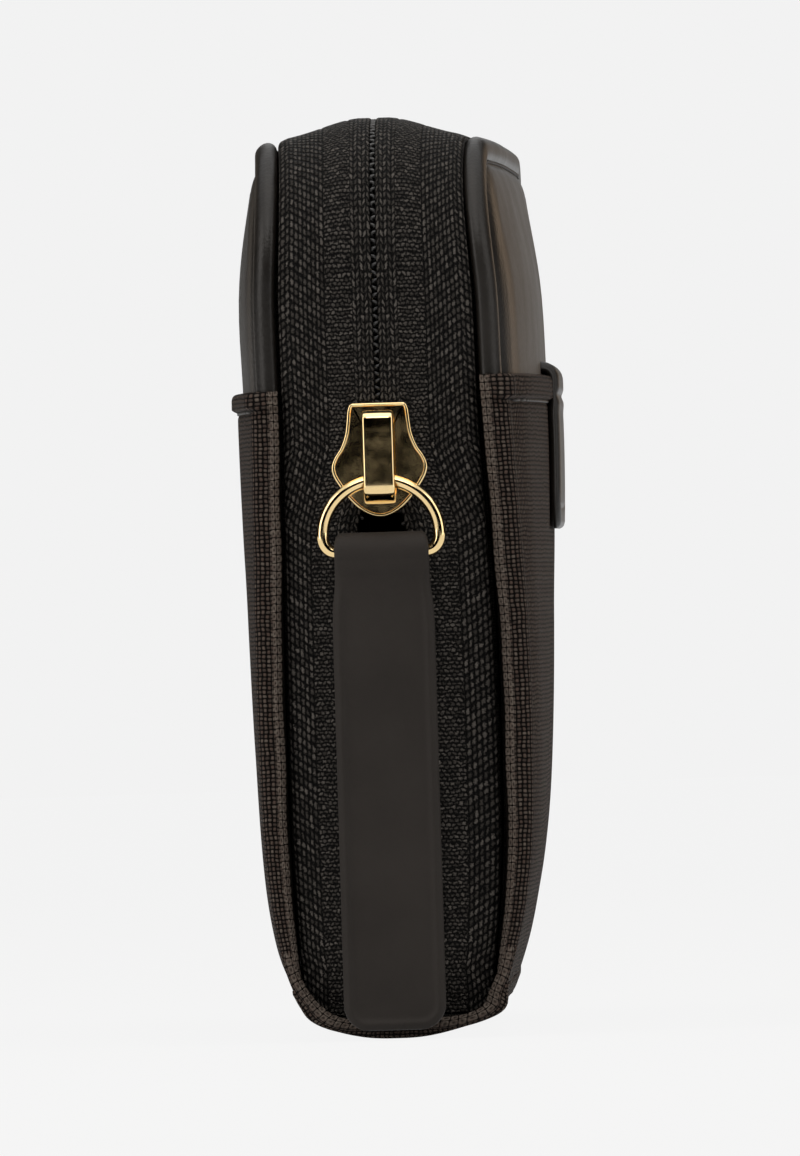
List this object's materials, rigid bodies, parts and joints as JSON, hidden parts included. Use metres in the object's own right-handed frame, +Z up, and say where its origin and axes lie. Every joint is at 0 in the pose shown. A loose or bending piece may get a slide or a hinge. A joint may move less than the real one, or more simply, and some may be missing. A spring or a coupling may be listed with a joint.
{
  "type": "zip-around wallet",
  "caption": "Compact zip-around wallet standing closed on its spine: padded covers with cloth pockets, slider with ring and strap pull, card slots and zipped coin pocket.",
  "frame": {"origin": "centre of the flat underside of the spine, on which the closed wallet stands", "axes": "+Z up from the spine to the top edge, +Y along the wallet's length away from the end with the slider, +X out through the front cover, which has the leather patch"},
  "size_m": [0.0358, 0.1349, 0.098],
  "materials": {
    "smooth_leather": "satin smooth faux leather",
    "coarse_cloth": "coarse plain weave",
    "inner_leather": "fine grain",
    "lining_cloth": "fine twill",
    "board": "pressed paper board",
    "foam": "soft foam",
    "zip_tape": "woven tape",
    "nylon_coil": "semi-matte nylon",
    "gold_metal": "polished gold plating",
    "spring_steel": "bright rolled",
    "matte_leather": "matte"
  },
  "bodies": {
    "spine": {"spine_cloth": "coarse_cloth", "spine_board": "board", "spine_lining": "lining_cloth", "coin_pocket_front_panel": "lining_cloth", "coin_pocket_back_panel": "lining_cloth", "coin_gusset_near": "lining_cloth", "coin_gusset_far": "lining_cloth", "coin_zip_tape_front": "zip_tape", "coin_zip_tape_back": "zip_tape", "coin_zip_coil_front": "nylon_coil", "coin_zip_coil_back": "nylon_coil", "coin_zip_stop_near": "gold_metal", "coin_zip_stop_far": "gold_metal"},
    "front_cover": {"front_leather": "smooth_leather", "front_pocket_cloth": "coarse_cloth", "front_board": "board", "front_foam": "foam", "front_lining": "lining_cloth", "front_bill_panel": "lining_cloth", "front_card_slot_1": "inner_leather", "front_card_slot_2": "inner_leather", "front_card_slot_3": "inner_leather", "front_zip_tape": "zip_tape", "front_zip_coil": "nylon_coil", "front_zip_stop_near": "gold_metal", "front_zip_stop_far": "gold_metal", "front_patch": "smooth_leather"},
    "back_cover": {"back_leather": "smooth_leather", "back_pocket_cloth": "coarse_cloth", "back_board": "board", "back_foam": "foam", "back_lining": "lining_cloth", "back_bill_panel": "lining_cloth", "back_card_slot_1": "inner_leather", "back_card_slot_2": "inner_leather", "back_card_slot_3": "inner_leather", "back_zip_tape": "zip_tape", "back_zip_coil": "nylon_coil", "back_zip_stop_near": "gold_metal", "back_zip_stop_far": "gold_metal"},
    "slider": {"slider_body": "gold_metal", "slider_cap": "gold_metal", "slider_lock_spring": "spring_steel"},
    "pull_ring": {"pull_ring": "gold_metal"},
    "pull_tab": {"pull_tab": "matte_leather"},
    "coin_slider": {"coin_slider_body": "gold_metal", "coin_slider_cap": "gold_metal"},
    "coin_puller": {"coin_puller": "gold_metal"}
  },
  "joints": [
    {"name": "front_cover_hinge", "type": "hinge", "parent": "spine", "child": "front_cover", "pos_m": [0.011, 0, 0.003], "axis": [0, 1, 0], "range_deg": [0, 90]},
    {"name": "back_cover_hinge", "type": "hinge", "parent": "spine", "child": "back_cover", "pos_m": [-0.011, 0, 0.003], "axis": [0, -1, 0], "range_deg": [0, 90]},
    {"name": "slider_travel", "type": "slide", "parent": "back_cover", "child": "slider", "axis": [0, 0, 1], "range_m": [0, 0.0125]},
    {"name": "ring_swing", "type": "hinge", "parent": "slider", "child": "pull_ring", "pos_m": [0, -0.06722, 0.0593], "axis": [-1, 0, 0], "range_deg": [0, 120]},
    {"name": "tab_swing", "type": "hinge", "parent": "pull_ring", "child": "pull_tab", "pos_m": [0, -0.06722, 0.0517], "axis": [-1, 0, 0], "range_deg": [0, 60]},
    {"name": "coin_slider_travel", "type": "slide", "parent": "spine", "child": "coin_slider", "axis": [0, 1, 0], "range_m": [0, 0.087]},
    {"name": "coin_puller_swing", "type": "hinge", "parent": "coin_slider", "child": "coin_puller", "pos_m": [0, -0.0435, 0.0809], "axis": [1, 0, 0], "range_deg": [0, 170]}
  ]
}
